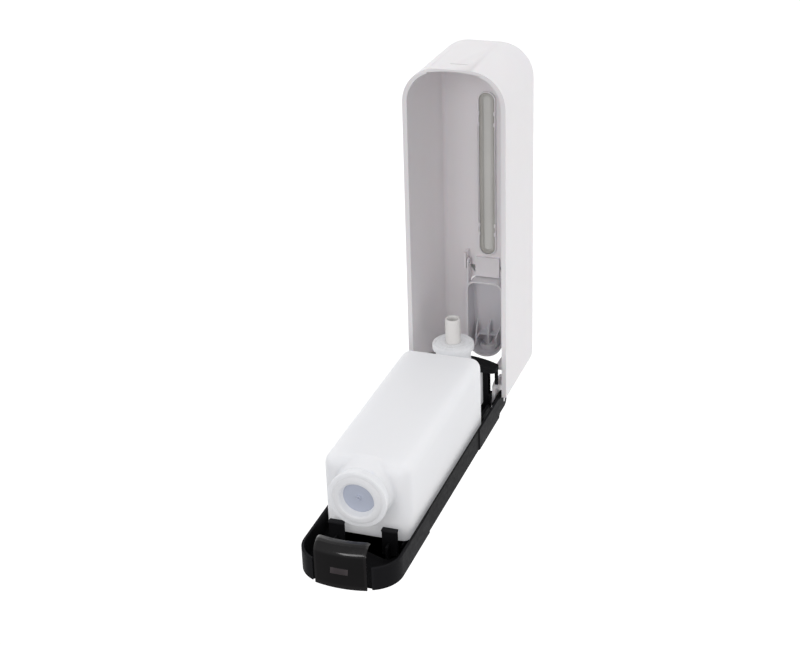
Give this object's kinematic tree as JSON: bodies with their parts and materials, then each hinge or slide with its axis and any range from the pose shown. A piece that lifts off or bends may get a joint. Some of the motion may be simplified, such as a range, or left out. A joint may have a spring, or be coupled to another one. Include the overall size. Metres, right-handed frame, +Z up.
{
  "type": "wall mounted soap dispenser",
  "caption": "Wall soap dispenser with a tall rounded cover swung down on its foot hinge, showing the refill bottle, press pump, push button and top latch.",
  "frame": {"origin": "on the wall plane, at the middle of the four wall screw holes", "axes": "+Z up the wall, -Y out into the room, +X to the right as seen from the room; the cover is stored swung open"},
  "size_m": [0.0958, 0.3341, 0.424],
  "materials": {
    "plate_black": "moulded satin black",
    "cover_white": "smooth white ABS",
    "button_white": "smooth white ABS",
    "bottle_milky": "translucent blow-moulded polyethylene",
    "cap_milky": "translucent moulded polyethylene",
    "pump_clear": "translucent moulded polypropylene",
    "stem_white": "satin warm white",
    "lens_grey": "frosted translucent",
    "seal_rubber": "soft rubber",
    "steel": "plain stainless steel"
  },
  "bodies": {
    "wall_plate": {"back_plate": "plate_black", "pump_housing": "plate_black", "housing_screws": "steel", "hinge_pins": "steel", "bottle": "bottle_milky", "pump_chamber": "pump_clear", "pump_collar": "pump_clear", "collar_gasket": "seal_rubber", "stem_wiper": "seal_rubber", "suction_tube": "pump_clear", "plunger_spring": "steel"},
    "latch": {"latch_tab": "plate_black"},
    "fill_cap": {"fill_cap": "cap_milky", "cap_gasket": "seal_rubber", "vent_valve": "seal_rubber"},
    "inlet_ball": {"inlet_ball": "steel"},
    "pump_stem": {"pump_stem": "stem_white", "piston_seal": "seal_rubber"},
    "outlet_ball": {"outlet_ball": "steel"},
    "cover": {"cover_shell": "cover_white", "sight_lens": "lens_grey", "lens_frame": "cover_white", "button_pins": "steel"},
    "push_button": {"push_button": "button_white"}
  },
  "joints": [
    {"name": "cover_hinge", "type": "hinge", "parent": "wall_plate", "child": "cover", "pos_m": [0, -0.0116, -0.165], "axis": [-1, 0, 0], "range_deg": [0, 91.2]},
    {"name": "button_press", "type": "hinge", "parent": "cover", "child": "push_button", "pos_m": [0, -0.11033, -0.25049], "axis": [1, 0, 0], "range_deg": [0, 5.34]},
    {"name": "stem_slide", "type": "slide", "parent": "wall_plate", "child": "pump_stem", "axis": [0, 1, 0], "range_m": [0, 0.0075], "stiffness_N_per_m": 150, "springref_m": -0.02, "deforming": ["plunger_spring"]},
    {"name": "latch_flex", "type": "hinge", "parent": "wall_plate", "child": "latch", "pos_m": [0, -0.0015, 0.1482], "axis": [1, 0, 0], "range_deg": [0, 4], "stiffness_Nm_per_rad": 5},
    {"name": "cap_turn", "type": "hinge", "parent": "wall_plate", "child": "fill_cap", "pos_m": [0, -0.0565, 0.1], "axis": [0, 0, 1], "range_deg": [0, 90]},
    {"name": "inlet_ball_lift", "type": "slide", "parent": "wall_plate", "child": "inlet_ball", "axis": [0, -1, 0], "range_m": [0, 0.0015]},
    {"name": "outlet_ball_lift", "type": "slide", "parent": "pump_stem", "child": "outlet_ball", "axis": [0, -1, 0], "range_m": [0, 0.0015]}
  ],
  "couplings": [
    {"joint": "stem_slide", "follows": "button_press", "m_per_rad": 0.08}
  ]
}
